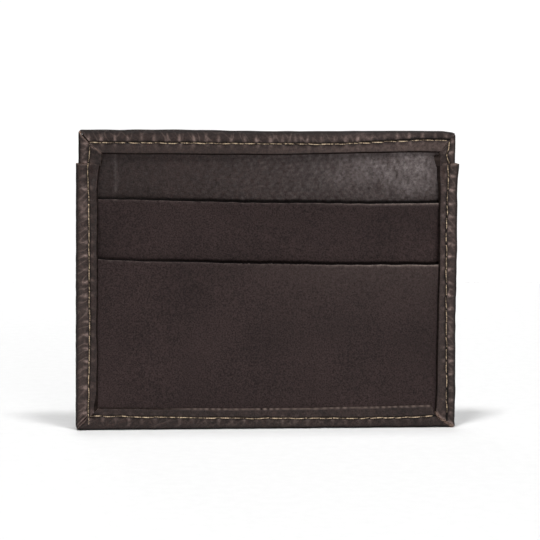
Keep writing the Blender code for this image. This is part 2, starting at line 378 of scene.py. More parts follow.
def slab(name, outer, inner, materials, marks, bevel=0):
    """A closed sheet between two like-numbered grids of points. Its materials are those of the outer face,
    the inner face, the walls along the first and last columns, and the two ends. Bevel says how many outer
    columns at either side belong to the walls."""
    rows, columns = outer.shape[:2]
    o = np.arange(rows * columns).reshape(rows, columns)
    i = o + rows * columns
    first, last = np.stack([o[:, 0], i[:, 0]], 1), np.stack([o[:, -1], i[:, -1]], 1)
    near, far = np.stack([o[0], i[0]]), np.stack([o[-1], i[-1]])
    parts = [
        (grid_faces(o), 0),
        (grid_faces(i, True), 1),
        (grid_faces(first, True), 2),
        (grid_faces(last), 2),
        (grid_faces(near, True), 3),
        (grid_faces(far), 3),
    ]
    faces = np.concatenate([quads for quads, _ in parts])
    slots = np.concatenate([np.full(len(quads), slot) for quads, slot in parts])
    column = np.arange((rows - 1) * (columns - 1)) % (columns - 1)
    slots[: column.size][(column < bevel) | (column >= columns - 1 - bevel)] = 2
    points = np.concatenate([outer.reshape(-1, 3), inner.reshape(-1, 3)])
    marks = {mark: np.concatenate([v.ravel(), np.zeros(v.size)]) for mark, v in marks.items()}
    return mesh_object(name, points, faces, slots, materials, marks)


def stand_for(obj, slot, *nodes):
    """The piece takes the place of these CAD nodes."""
    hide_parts(*nodes)


def mount(obj, body, slot, *nodes):
    """The piece rides on a body and takes the place of these CAD nodes."""
    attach(obj, body)
    stand_for(obj, slot, *nodes)


def bend_at_lip(obj):
    """Bakes the piece's placement into its mesh."""
    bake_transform(obj)


# ------------------------ sheets: facing, pockets and lining

# how far below its mouth a pocket's rows are
MOUTH_STEPS = [0, 0.05, 0.11, 0.19, 0.3, 0.45, 0.65, 0.95, 1.4, 2, 3, 4.5, 6.5, 9, 12, 16, 21, 27, 33, 38, 43]
BEHIND_STEPS = np.arange(13.4, 18.0, 0.2)  # the upper pocket's rows behind the lower pocket's mouth
EDGE_ROUND, EDGE_BEVEL = 0.16, 0.24  # how far a mouth's cut edge is rounded, and how far it slopes
MOUTH_DIP = 0.26  # how deep the sheet behind an open mouth is pushed in
STEM_TOP, STEM_HALF = 11.0, 46.0  # where and how far the upper pocket narrows, under the lower one
CREASE_X = -39.8  # the crease near the facing's left end


def mouth_line(x, ends, seed, fray):
    """How high a mouth is at x: it falls from left to right, bows up towards its ends, wavers and is a
    little frayed where fray says."""
    half = upper_high[0]
    straight = ends[0] + (ends[1] - ends[0]) * (x + half) / (2 * half)
    bowed = straight + 0.55 * (x / half) ** 2 - 0.20
    waver = 0.05 * ripple(seed, 34, x) + 0.05 * ripple(seed + 1, 7, x)
    return bowed + waver + fray(x) * 0.10 * ripple(seed + 2, 1.1, x)


def opening(x):
    """How far a mouth stands open along its length: closed at the left end, and open from the middle on."""
    return 0.25 + 0.75 * ease((x + 42) / 34)


def dip(x, z, mouth):
    """The sheet behind a mouth is pushed in, from just above the mouth down."""
    return opening(x) * ease((mouth - z + 0.7) / 1.0)


def painted_mouth_shade(x, z, mouth):
    """Painted shade on the sheet behind a mouth, in a thin dark line just above it."""
    return 0.8 * (0.4 + 0.6 * opening(x)) * bump(z, mouth + 0.05, 0.30)


def upper_fray(x):
    """How frayed the upper mouth is."""
    return 0.25 + 0 * x


def lower_fray(x):
    """How frayed the lower mouth is, most in the middle."""
    return 0.2 + 0.8 * bump(x, 0, 14)


def pocket(name, turn, seed, low, high, ends, fray, node, behind=None, painted_sheen=0.0):
    """A card pocket. Its rows run down from the mouth; the cut edge slopes back and is near-black, painted
    shade for the gap at the mouth. Behind is the mouth of the pocket in front of it, and glow is how strongly
    a painted sheen lightens the leather below its own mouth at the right."""
    half = high[0] - SHEET_INSET
    x = np.linspace(-half, half, 300)
    drop = ends[0] - low[2]
    rows = sorted(MOUTH_STEPS + BEHIND_STEPS.tolist()) if behind else MOUTH_STEPS
    steps = np.array([row for row in rows if row < drop - 1] + [drop])
    mouth = mouth_line(x, ends, seed, fray)
    full = (mouth - low[2]) / drop
    below = steps[None, :] * np.ones((len(x), 1))
    z = mouth[:, None] - EDGE_BEVEL - below * full[:, None]
    z[:, -1] = low[2]
    xs = x[:, None] * np.ones_like(z)
    if behind:
        narrow = ease((below - STEM_TOP) / 1.0)
        xs = xs * (1 - narrow * (1 - STEM_HALF / half))
    inner_depth, outer_depth = -high[1], -low[1]
    bulge = opening(xs) * (0.38 * np.exp(-below / 5)) * np.cos(xs / half * math.pi / 2) ** 0.6
    swell = 0.10 * ripple(seed + 5, 26, xs, z) + 0.03 * ripple(seed + 6, 5, xs, z)
    tuck = -0.22 * ease((np.abs(xs) - HALF_WIDTH + RIM_LAP + 0.8) / 1.6)
    shift = bulge + swell + tuck
    if behind:
        shift = shift - MOUTH_DIP * dip(xs, z, behind(xs))
    rounding = EDGE_ROUND * (1 - np.sqrt(1 - np.clip(1 - below / 0.30, 0, 1) ** 2))
    outer = np.stack([xs, -(outer_depth + shift - rounding), z], -1)
    lift = EDGE_BEVEL * np.exp(-below / 0.35)
    inner = np.stack([xs, -(inner_depth + shift), z + lift], -1)
    # A paler band under the mouth: a painted highlight where the lip catches the light, and wear; it is
    # strongest to the right.
    polish = 0.12 + 0.75 * ease((xs - 5) / 35) + 0.10 * ripple(seed + 7, 3, xs)
    wear = np.clip(1.1 * np.exp(-((below / 0.42) ** 2)) * polish, 0, 1)
    # A painted sheen at the right, below the mouth.
    wear += painted_sheen * ease((xs + 25) / 50) * np.exp(-below / 9)
    for grid in (outer, inner):
        grid[..., :2] *= turn
    sheets = [grid.transpose(1, 0, 2) for grid in (outer, inner)]
    # Painted shade: a thin dark line on the sheet behind, just above the mouth of the pocket in front.
    shade_above_mouth = painted_mouth_shade(xs, z, behind(xs)) if behind else 0 * xs
    marks = {"wear": wear.T, "crease": shade_above_mouth.T}
    obj = slab(name, *sheets, [POCKET, FLESH, PAINTED_SHADE_EDGE, PAINTED_SHADE_EDGE], marks)
    mount(obj, WALLET, "pocket_leather", node)


def sheet_rows():
    """Heights of the rows of a sheet from foot to lip: close together behind the mouth and at the bend."""
    coarse = np.arange(facing_low[2], PANEL_TOP, 1.6)
    mouth = np.arange(min(UPPER_MOUTH) - 1.5, max(UPPER_MOUTH) + 2.2, 0.18)
    bend = np.arange(HINGE_Z - 1.2, HINGE_Z + 2.4, 0.3)
    upper = np.arange(max(UPPER_MOUTH) + 2.2, PANEL_TOP, 0.7)
    return np.unique(np.round(np.concatenate([coarse, mouth, bend, upper, [PANEL_TOP]]), 3))


def lip_sheet(name, turn, seed, low, high, relief, worn, materials, slot, nodes):
    """A sheet from foot to lip. It is darker towards its left end."""
    half = high[0] - SHEET_INSET
    xs, zs = np.meshgrid(np.linspace(-half, half, 160), sheet_rows())
    mouth = mouth_line(xs, UPPER_MOUTH, seed, upper_fray)
    shift = -MOUTH_DIP * dip(xs, zs, mouth)
    outer = np.stack([xs, -(-low[1] + shift + relief(xs, zs)), zs], -1)
    inner = np.stack([xs, -(-high[1] + shift), zs], -1)
    for grid in (outer, inner):
        grid[..., :2] *= turn
    # Darker towards the left end; the crease mark also holds painted shade just above the upper pocket's
    # mouth.
    dark_end = 0.15 * ease((-xs - 14) / 30)
    marks = {"wear": worn(xs, zs), "crease": painted_mouth_shade(xs, zs, mouth) + dark_end}
    obj = slab(name, outer, inner, materials, marks)
    bend_at_lip(obj)
    stand_for(obj, slot, *nodes)
    return obj


def no_mark(x, z):
    """Neither relief nor wear."""
    return 0 * x


def crease_line(seed, z):
    """Where the facing's crease is at each height."""
    return CREASE_X + 0.35 * ripple(seed + 3, 9, z)


def facing_relief(seed):
    """Gentle waves, a crease near the left end and a fullness at the right end under the lip."""

    def relief(x, z):
        waves = 0.07 * ripple(seed, 22, x, z) + 0.03 * ripple(seed + 1, 5, x, z)
        waves = waves + 0.008 * ripple(seed + 2, 1.6, x, z)
        line = crease_line(seed, z)
        crease = 0.09 * bump(x, line, 0.35) - 0.05 * bump(x, line + 0.7, 0.4)
        full = 0.34 * bump(x, 35, 12) * bump(z, 66.5, 6)
        flat_under_strips = ease((45 - np.abs(x)) / 3.5) * ease((72.8 - z) / 1.5)
        return (waves + crease + full) * flat_under_strips

    return relief


def facing_wear_and_sheen(seed):
    """A painted sheen at the upper right, in streaks and fading to the left, and wear along the crease."""

    def worn(x, z):
        crease = 0.30 * bump(x, crease_line(seed, z), 0.3) * ease((z - 60) / 3)
        streaks = 1 + 0.30 * ripple(seed + 4, 6, x, z) + 0.35 * ripple(seed + 5, 1.5, x, z / 3)
        low = bump(z, 68.0, 5.5) * np.clip(streaks, 0, None)
        # The spot at the upper right and the rise towards the right are painted sheen, not wear.
        spread = 0.15 * ease(x / 20) + 0.23 * ease((x - 12) / 18) + 0.30 * ease((x - 30) / 8)
        sheen_spot = spread * (1 - 0.45 * ease((x - 39) / 5)) * low
        sheen_towards_right = (0.04 + 0.09 * ease((x + 30) / 40)) * (1 + 0.7 * ripple(seed + 6, 1.9, x, z))
        return np.clip(crease + sheen_towards_right + sheen_spot, 0, 1)

    return worn


# ------------------------ strips

BRIM = 0.36  # how wide the slanting free edge of a strip is
HEAD_WEDGE = 0.42  # how much wider it is at the right strip's head
CLOSED_GAP = 0.04  # how far each closed lip stays off the middle plane
LIP_OVERLAP = 3.0  # how far the ears reach down under the side strips' heads
LONG_STATIONS, SIDE_STATIONS, EAR_STATIONS = 560, 420, 70  # rows along each kind of strip
FOOT_ROUNDS, LIP_ROUNDS = ((-1, 1.4), (1, 1.1)), ((-1, 0.8), (1, 1.1))  # left and right corners, with radii

# Mitres, as points given by how far across the two strips they are: right and bottom, ear and top.
FOOT_MITRE = ([-8.0, -5.4, -3.9, -1.0, 0], [-8.0, -4.9, -2.7, -0.9, 0])
MITRES = {
    "left": ([-6.3, -4.4, -3.1, -2.2, 0], [-6.3, -4.6, -4.1, -2.7, 0]),
    "right": ([-8.0, -4.9, 0], [-5.9, -5.75, 0]),
}


def even(amount):
    """The same amount all along."""
    return lambda along: amount + 0 * along


class Strip:
    """A leather strip folded over an edge and sewn through.

    Along runs with the strip. Across is 0 at the fold and negative towards the two free edges. Face is 1 on
    the outer side and -1 on the other side. Place turns along, across and depth into a point. Fold is the
    radius of the fold and middle is its depth. Ends says where the strip is cut, run where its stitching
    starts and ends, and least how close to the middle plane it may come.

    Functions of along: reach is how far the faces stand from the middle, lap how wide the strip is, seam
    where it is sewn, outline how far the fold bulges out and brim how wide the free edge is, whose
    near-black is painted shade. Tone and inner_tone say how worn it is outside and inside the seam, polish
    how pale the free edge is, from wear and on the bottom strip a painted highlight, and shade how dark it
    is.

    For the two ends: curl is how far an end turns up, skive how far its cut slopes and pleats how strongly it
    is pleated. For the whole strip: burnish is how far the painted shade on the fold comes in, pull how
    strongly the stitches pull ridges and wrinkled how much the fine lines show.
    """

    PLAIN = {
        "outline": even(0.0),
        "brim": even(1.0),
        "curl": (0.0, 0.0),
        "skive": (0.0, 0.0),
        "pleats": (0.0, 0.0),
        "tone": even(0.15),
        "inner_tone": even(0.0),
        "polish": even(0.1),
        "shade": even(0.0),
        "burnish": 0.9,
        "least": -HALF_WIDTH,
        "pull": 1.0,
        "wrinkled": 1.0,
    }

    def __init__(self, place, fold, middle, reach, lap, seam, ends, run, seed, **look):
        self.place, self.fold, self.middle, self.reach = place, fold, middle, reach
        self.lap, self.seam, self.ends, self.seed = lap, seam, ends, seed
        for key, value in {**self.PLAIN, **look}.items():
            setattr(self, key, value)
        rng = np.random.default_rng(seed)
        self.pull = self.pull * rng.uniform(0.35, 1.45, 64)
        count = max(1, round(abs(run[1] - run[0]) / PITCH))
        self.holes = np.linspace(*run, count + 1)
        self.holes[1:-1] += rng.normal(0, 0.10, count - 1)

    def relief(self, along, across, face):
        """How far the leather stands off an even surface, how pale it is and how dark. Ridges run from each
        hole outside and inside the seam and are paler with a painted highlight, and the thread lies in a
        groove darkened by painted shade. Outside is towards the fold."""
        seed = self.seed + (face < 0) * 50
        gap = across - self.seam(along)
        number = np.abs(along[..., None] - self.holes).argmin(-1)
        to_hole = along - self.holes[number] + 0.12 * ripple(seed + 4, 4, along, across)
        pull = self.pull[(number + 20 * (face < 0)) % 64]
        taper = 0.52 - 0.12 * np.clip(gap, 0, 2.5)
        outside = pull * bump(to_hole, 0, taper) * ease(gap / 0.5) * bump(gap, 0.5, 1.25)
        inside = pull[..., ::-1] * bump(to_hole, 0.2, 0.5) * ease(-gap / 0.5) * bump(gap, -0.45, 0.8)
        hollow = (1 - bump(to_hole, 0, 1.1)) * bump(gap, 0.75, 0.6)
        groove = bump(gap, 0, 0.30)
        rise = 0.24 * outside + 0.12 * inside - 0.06 * hollow - 0.22 * groove
        rise = rise - 0.12 * bump(to_hole, 0, 0.35) * bump(gap, 0, 0.5)
        rise = rise + 0.07 * ripple(seed, 8, along, across) + 0.03 * ripple(seed + 1, 2.3, along, across)
        lines = bump(ripple(seed + 7, 4.0, along + 0.6 * across, 0.7 * across), 0, 0.16) * ease(gap / 0.5)
        rise = rise - 0.04 * lines
        # Paler: painted highlights on the ridges, the fine lines, and wear where tone and inner_tone say.
        worn = 0.78 * outside + 0.30 * inside + 0.32 * self.wrinkled * lines
        worn = worn + self.tone(along) * ease(gap - 0.4) + self.inner_tone(along) * ease(-gap - 0.3)
        # The last value is painted shade in the groove beside the thread.
        return rise, worn, 0.9 * bump(gap, 0, 0.36)

    def at_ends(self, to_first, to_last, across):
        """Relief and paleness at the strip's two ends, given the distance to each: a curled end is worn
        paler, and the ridges of pleats get a painted highlight.
        """
        rise, worn = 0.0, 0.0
        outside = ease((across + 3.6) / 1.2)
        for distance, curl, pleats in zip((to_first, to_last), self.curl, self.pleats):
            lip = np.exp(-((distance / 0.45) ** 2))
            fold = np.cos(2 * math.pi * distance / 1.15 + 0.6) * np.exp(-((distance / 1.9) ** 2)) * outside
            rise = rise + curl * lip + 0.20 * pleats * fold
            worn = worn + min(1.0, 2.2 * curl) * lip + 0.5 * pleats * np.clip(fold, 0, 1)
        return rise, worn

    def section(self):
        """Columns across the strip, from free edge to free edge: shares of lap and brim, shift across, side,
        depth from the fold's centre, the normal's two parts, and face."""
        columns = []
        r = self.fold
        for brim, drop, lean in ((0.0, 0.42, -1.0), (0.6, 0.16, -0.7), (1.0, 0.03, -0.3)):
            columns.append((1, brim, 0, 1, r - drop, lean, math.sqrt(1 - lean * lean), 1))
        for w in np.linspace(0.05, 1, 30):
            columns.append((1 - w, 1 - w, -r * w, 1, r, 0, 1, 1))
        for turn in np.linspace(0, math.pi / 2, 7)[1:]:
            lean, out = math.sin(turn), math.cos(turn)
            columns.append((0, 0, -r + r * lean, 1, r * out, lean, out, 1))
        back = []
        for lap, brim, shift, _, deep, lean, out, _ in columns[::-1]:
            back.append((lap, brim, shift, -1, -deep, lean, -out, -1))
        spine = [(0, 0, 0, side, 0, 1, 0, 0) for side in np.linspace(1, -1, 7)[1:-1]]
        return np.array(columns + spine + back).T

    def mesh(self, name, stations, rounds):
        """The strip's mesh, with so many stations along it and its corners rounded."""
        share, brim, shift, side, deep, lean, out, face = self.section()
        step = np.linspace(0, 1, stations)[:, None]
        rough = self.ends[0](-self.fold) * (1 - step) + self.ends[1](-self.fold) * step
        across = -self.lap(rough) * share + BRIM * self.brim(rough) * brim + shift
        first, last = self.ends[0](across), self.ends[1](across)
        along = first * (1 - step) + last * step
        fade = np.where(face == 0, 0.0, 1.0) * np.clip(out * np.sign(face), 0, 1)
        sides = [self.relief(along, across, number) for number in (1, -1)]
        rise, worn, crease = (np.where(face >= 0, f, b) * fade for f, b in zip(*sides))
        end_rise, end_worn = self.at_ends(along - first, last - along, across)
        rise, worn = rise + end_rise * fade, worn + end_worn * fade
        spread = (self.outline(along) + 0.04 * ripple(self.seed + 9, 6, along, side * 3)) * (1 - share)
        depth = self.middle + side * (self.reach(along, across) - self.fold) + deep
        outer = self.place(along, across + spread + lean * rise, np.maximum(depth + out * rise, self.least))
        free = share < 0.96
        along_in = (first - self.skive[0]) * (1 - step) + (last + self.skive[1]) * step
        depth_in = np.where(free, depth - np.sign(face) * LEATHER * np.abs(out), 0)
        depth_in = np.where(free, depth_in, self.middle + side * (self.reach(along, across) - LEATHER))
        inner = self.place(along_in, across + spread - lean * LEATHER * free, depth_in)
        for grid in (outer, inner):
            for corner in rounds:
                round_corner(grid, *corner)
            grid[..., 2] = np.maximum(grid[..., 2], 0.0)
        uneven = 0.7 + 0.4 * ripple(self.seed + 12, 2.2, along)
        # The free edge is paler: wear, and on the bottom strip a painted highlight.
        worn = worn * (share < 0.99) + self.polish(along) * ease((share - 0.94) / 0.05) * uneven
        # Painted shade darkens the fold, less on its spine; shade adds the strip's own darkening.
        off_spine = 1 - 0.72 * ease((lean - 0.88) / 0.12)
        crease = crease + 0.85 * ease((across + self.burnish) / self.burnish) * (share < 0.99) * off_spine
        crease = crease + self.shade(along)
        marks = {"wear": np.clip(worn, 0, 1), "crease": np.clip(crease, 0, 1)}
        return slab(name, outer, inner, [BINDING, FLESH, BRIM_SHADE_AND_HIGHLIGHT_EDGE, EDGE_RAW], marks, bevel=2)

    def on_face(self, along, aside, lift, face):
        """A point on the seam, moved sideways towards the fold and lifted off the leather."""
        across = self.seam(along) + aside
        return self.place(along, across, self.middle + face * (self.reach(along, across) + lift))


def joined(x, y, z):
    """Points from their three coordinates."""
    return np.stack(np.broadcast_arrays(x, y, z), -1)


def side_place(side):
    return lambda along, across, depth: joined(side * (HALF_WIDTH + across), -depth, along)


def bottom_place(along, across, depth):
    return joined(along, -depth, -across)


def top_place(turn):
    return lambda along, across, depth: joined(turn * along, -turn * depth, HEIGHT + across)


def ear_place(turn, side):
    return lambda along, across, depth: joined(turn * side * (LIP_HALF + across), -turn * depth, along)


def ragged(seed, amount):
    """A cut end that isn't quite straight."""
    return lambda across: amount * ripple(seed, 1.4, across)


def left_edge(z):
    """Where the left strips' free edge stands, from the middle: they widen at the ears."""
    return HALF_WIDTH - RIM_LAP - 0.27 - 1.15 * ease((z - 62) / 12)


def right_edge(z):
    """Where the right strips' free edge stands, from the middle."""
    return HALF_WIDTH - RIM_LAP + 0.28 + 0 * z


def left_seam(z):
    """How far the left seam stands in from the side: the sewing drifts."""
    drift = 0.28 * bump(z, 26, 11) + 0.13 * bump(z, 48, 9)
    drift = drift - 0.25 * ease((z - 58) / 9) + 0.45 * ease((z - 67) / 6)
    return HALF_WIDTH - SEAM_X + 0.12 + drift


def right_seam(z):
    """How far the right seam stands in from the side."""
    return HALF_WIDTH - SEAM_X - 0.95 + 0.90 * ease(z / 50) - 0.40 * ease((z - 52) / 15)


def top_seam(x):
    """How high the lips' top seam is: it rises to the right."""
    return TOP_SEAM + 0.1 + 1.2 * ease((x - 14) / 30)


def top_outline(x):
    """The top edge isn't straight: it stands highest left of the middle and towards the right end."""
    return 0.08 + 0.17 * bump(x, -24, 12) + 0.36 * ease((x - 6) / 32) * (1 - ease((x - 45.5) / 3.5))


def bottom_seam(x):
    """How high the bottom seam is: it sags towards the right and rises again at the end."""
    sag = 1.15 * (np.clip(28 - x, 0, None) / 74) ** 2 + 0.45 * (np.clip(x - 28, 0, None) / 16) ** 2
    return BOTTOM_SEAM - 0.26 + sag


def head_wedge(z):
    """How much wider the right strip's free edge is: it widens towards its head."""
    return HEAD_WEDGE * ease((z - 57) / 11)


def rim_strips():
    """The left, bottom and right strips that bind the two halves."""
    left_foot, left_head = ragged(10, 0.05), ragged(11, 0.05)
    right_foot, right_head = ragged(30, 0.14), ragged(31, 0.05)
    left_end, right_end = ragged(51, 0.05), ragged(52, 0.08)

    def right_strip_foot(a):
        return MITRE_GAP - np.interp(a, *FOOT_MITRE) + right_foot(a) + 0.10 * ripple(35, 0.6, a)

    def bottom_strip_end(a):
        mitre = np.interp(a, *FOOT_MITRE[::-1])
        return HALF_WIDTH + mitre - MITRE_GAP - 0.8 * ease((5.8 + a) / 2) + right_end(a)

    strips = {}
    strips["left"] = Strip(
        side_place(-1), RIM_FOLD, 0.0, rim_reach,
        lambda z: HALF_WIDTH - left_edge(z) + 0.06 * ripple(13, 20, z),
        lambda z: -left_seam(z) + 0.03 * ripple(14, 9, z),
        (lambda a: MITRE_GAP - a + left_foot(a), lambda a: RIM_TOP + left_head(a)),
        (RIM_TOP + 0.3, BOTTOM_SEAM - 1.8), 10,
        outline=even(-0.07),
        # The near-black brim widens near the foot: painted shade for the gap at the corner.
        brim=lambda z: 1 + 1.8 * bump(z, 2.4, 2.8),
        curl=(0.12, 0.05),
        pull=0.8,
        pleats=(1.0, 0.0),
        tone=even(0.08),
        polish=even(0.03),
    )
    strips["right"] = Strip(
        side_place(1), RIM_FOLD, 0.0, rim_reach,
        lambda z: HALF_WIDTH - right_edge(z) + 0.08 * ripple(33, 18, z) + head_wedge(z),
        lambda z: -right_seam(z) + 0.06 * ripple(34, 7, z),
        (right_strip_foot, lambda a: RIM_TOP + 0.6 + right_head(a)),
        (BOTTOM_SEAM + 0.9, RIM_TOP + 0.5), 30,
        outline=lambda z: 0.25 - 0.38 * ease((z - 8) / 22) + 0.40 * ease((z - 64) / 5),
        brim=lambda z: 1 + head_wedge(z) / BRIM,
        curl=(0.30, 0.05),
        skive=(1.05, 0.0),
        tone=even(0.10),
        inner_tone=even(0.08),
        shade=lambda z: 0.13 * ease((42 - z) / 26),
        polish=even(0.02),
        burnish=1.3,
    )
    strips["bottom"] = Strip(
        bottom_place, RIM_FOLD, 0.0,
        lambda x, across: RIM_REACH + 0 * x,
        lambda x: RIM_LAP + 0.05 + 0.5 * (x / 44) ** 2 + 0.04 * ripple(53, 24, x),
        lambda x: -bottom_seam(x) + 0.03 * ripple(54, 9, x),
        (lambda a: MITRE_GAP - HALF_WIDTH - a + left_end(a), bottom_strip_end),
        (0.5 - SEAM_X, SEAM_X - 2.6), 50,
        curl=(0.0, 0.05),
        pull=0.35,
        wrinkled=0.4,
        tone=even(0.0),
        shade=lambda x: 0.16 * ease((x + 20) / 60),
        # Its free edge is paler to the right: a painted highlight where it catches the light, and wear.
        polish=lambda x: 0.04 + 0.24 * ease((x + 30) / 14),
    )
    return strips


def up_mitre(side, across):
    """How far below the top a lip's mitre is, as far in from the side as across says."""
    return np.interp(across, *MITRES[side])


def in_mitre(side, across):
    """How far in from the side a lip's mitre is, as far below the top as across says."""
    return np.interp(across, *MITRES[side][::-1])


def lip_strips(turn, seed):
    """The three strips that bind a lip. Left and right are as seen from that half's own outside."""
    middle, reach = (LIP_IN + LIP_OUT) / 2, (LIP_OUT - LIP_IN) / 2
    inset = HALF_WIDTH - LIP_HALF
    strips = {}

    def ear_reach(z, across):
        """The ears dip under the heads of the side strips."""
        return reach - 0.40 * ease((RIM_TOP + 0.1 - z) / 0.8)

    def wedge(z):
        """The right ear's free edge slopes down to the facing in a widening wedge, whose near-black is
        painted shade.
        """
        return HEAD_WEDGE + 0.85 * ease((z - 69.0) / 7.5)

    # On the back half the left ear stands at the right side strip, whose head is higher.
    first_hole = LIP_FOOT - 0.2 if turn > 0 else LIP_FOOT + 0.7
    left_foot, right_foot = ragged(seed - 1, 0.05), ragged(seed + 1, 0.05)
    strips["left"] = Strip(
        ear_place(turn, -1), LIP_FOLD, middle, ear_reach,
        lambda z: LIP_HALF - left_edge(z),
        lambda z: inset - left_seam(z),
        (
            lambda a: RIM_TOP - LIP_OVERLAP + left_foot(a),
            lambda a: HEIGHT + up_mitre("left", a) - MITRE_GAP - 0.20 * ease((a + 3.2) / 1.5),
        ),
        (first_hole, TOP_SEAM - 0.1), seed + 9,
        least=CLOSED_GAP,
        curl=(0.0, 0.22),
        skive=(0.0, 0.20),
        tone=even(0.12),
    )
    strips["right"] = Strip(
        ear_place(turn, 1), LIP_FOLD, middle, ear_reach,
        lambda z: LIP_HALF - right_edge(z) + wedge(z),
        lambda z: inset - right_seam(z) + 0.2 * ripple(seed + 6, 5, z),
        (
            lambda a: RIM_TOP - LIP_OVERLAP + right_foot(a),
            lambda a: HEIGHT + up_mitre("right", a) - MITRE_GAP,
        ),
        (LIP_FOOT - 0.2, TOP_SEAM + 1.0), seed + 11,
        brim=lambda z: 1 + wedge(z) / BRIM,
        least=CLOSED_GAP,
        curl=(0.0, 0.06),
        tone=even(0.12),
    )
    strips["top"] = Strip(
        top_place(turn), LIP_FOLD, middle,
        lambda x, across: reach + 0 * x,
        lambda x: LIP_LAP + 0.08 - 0.95 * ease((x + 5) / 50) + 0.03 * ripple(seed + 5, 26, x),
        lambda x: top_seam(x) - HEIGHT + 0.03 * ripple(seed + 7, 8, x),
        (
            lambda a: MITRE_GAP - LIP_HALF - in_mitre("left", a) + 0.20 * ease((a + 4.2) / 1.5),
            lambda a: LIP_HALF + in_mitre("right", a) - 0.02,
        ),
        (0.1 - SEAM_X, SEAM_X + 0.1), seed + 20,
        outline=lambda x: top_outline(turn * x) + 0.03 * ripple(seed + 8, 40, x),
        least=CLOSED_GAP,
        curl=(0.12, 0.05),
        tone=lambda x: 0.06 + 0.16 * ease((x + 15) / 50),
        inner_tone=lambda x: 0.06 + 0.20 * ease((x + 15) / 50),
        polish=even(0.02),
        burnish=1.6,
    )
    return strips


# ------------------------ stitches

PLY, PLY_TWIST, PLY_OFFSET = 0.088, 1.3, 0.066  # a ply's radius, its twist, and how far it is off the middle
FOOT_THREAD = 0.14  # radius of the thread that closes the upper pocket's foot
TUBE_SIDES, TUBE_STEPS = 6, 15


def thread_tubes(name, centres, radius, wear, body, node):
    """Round closed tubes of thread along rows of centre points (tubes, steps, 3), joined into one mesh."""
    count, steps = centres.shape[:2]
    radius = np.broadcast_to(radius, (count, steps))[..., None, None]
    tangent = np.gradient(centres, axis=1)
    tangent /= np.linalg.norm(tangent, axis=-1, keepdims=True)
    helper = np.where(np.abs(tangent[..., 1:2]) < 0.8, [0.0, 1.0, 0.0], [0.0, 0.0, 1.0])
    first = np.cross(tangent, helper)
    first /= np.linalg.norm(first, axis=-1, keepdims=True)
    second = np.cross(tangent, first)
    turn = np.linspace(0, 2 * math.pi, TUBE_SIDES, endpoint=False)
    ring = (
        centres[:, :, None]
        + radius * np.cos(turn)[:, None] * first[:, :, None]
        + radius * np.sin(turn)[:, None] * second[:, :, None]
    )
    index = np.arange(count * steps * TUBE_SIDES).reshape(count, steps, TUBE_SIDES)
    around = np.concatenate([index, index[:, :, :1]], 2)
    here, ahead = around[:, :-1], around[:, 1:]
    sides = np.stack([here[..., :-1], here[..., 1:], ahead[..., 1:], ahead[..., :-1]], -1).reshape(-1, 4)
    ends = []
    for cap in (index[:, 0], index[:, -1]):
        ends += [cap[:, [0, 1, 2, 5]], cap[:, [2, 3, 4, 5]]]
    faces = np.concatenate([sides] + ends)
    # For thread the wear mark carries painted shade where it sinks into its holes.
    worn = np.repeat(np.broadcast_to(wear, (count, steps))[..., None], TUBE_SIDES, -1).ravel()
    slots = np.zeros(len(faces))
    obj = mesh_object(name, ring.reshape(-1, 3), faces, slots, [TAN_THREAD], {"wear": worn})
    mount(obj, body, "thread", node)


def stitched(name, runs, face, seed, body, node):
    """Two-ply stitches along runs of (strip, how deep they dive into the holes, slant)."""
    rng = np.random.default_rng(seed)
    share = np.linspace(0, 1, TUBE_STEPS)
    arch = np.sin(math.pi * share)
    paths, sunk_shade, radii = [], [], []
    for strip, deepest, lean in runs:
        for a, b in zip(strip.holes[:-1], strip.holes[1:]):
            dive = deepest * rng.uniform(0.4, 1.5)
            slant = rng.normal(lean, 0.09)
            crest = rng.uniform(-0.12, 0.03)
            bow = rng.normal(0, 0.06)
            slack = PLY * rng.uniform(0.85, 1.15) * (1 - 0.25 * share)
            along = a + (b - a) * (0.03 + 0.94 * share)
            aside = slant * (0.5 - share) + bow * arch
            lift = crest - dive + dive * arch**0.35
            start_turn = rng.uniform(0, 2 * math.pi)
            for ply in (0, math.pi):
                turn = 2 * math.pi * share * abs(b - a) / PLY_TWIST + start_turn + ply
                across = aside + PLY_OFFSET * np.cos(turn)
                paths.append(strip.on_face(along, across, lift + PLY_OFFSET * np.sin(turn), face))
                # Painted shade on the thread towards its holes, deeper as the stitch dives.
                sunk_shade.append(1.5 * dive * (1 - arch**0.5))
                radii.append(slack)
    thread_tubes(name, np.array(paths), np.array(radii), np.clip(sunk_shade, 0, 1), body, node)


def foot_stitches(name, turn, node):
    """The row that closes the foot of the upper pocket, from the facing out to the pocket's face."""
    low, high = -foot_high[1] - 0.45, -foot_low[1] + LEATHER + 0.10
    z = (foot_low[2] + foot_high[2]) / 2
    holes = np.arange(foot_low[0] + 1, foot_high[0] - 1, PITCH)
    share = np.linspace(0, 1, TUBE_STEPS)
    reach = low + (high - low) * np.sin(math.pi * share) ** 0.4
    paths = []
    for a in holes[:-1]:
        paths.append(np.stack([turn * (a + PITCH * share), -turn * reach, z + 0 * share], -1))
    thread_tubes(name, np.array(paths), FOOT_THREAD, np.zeros(TUBE_STEPS), WALLET, node)


# ------------------------ the wallet


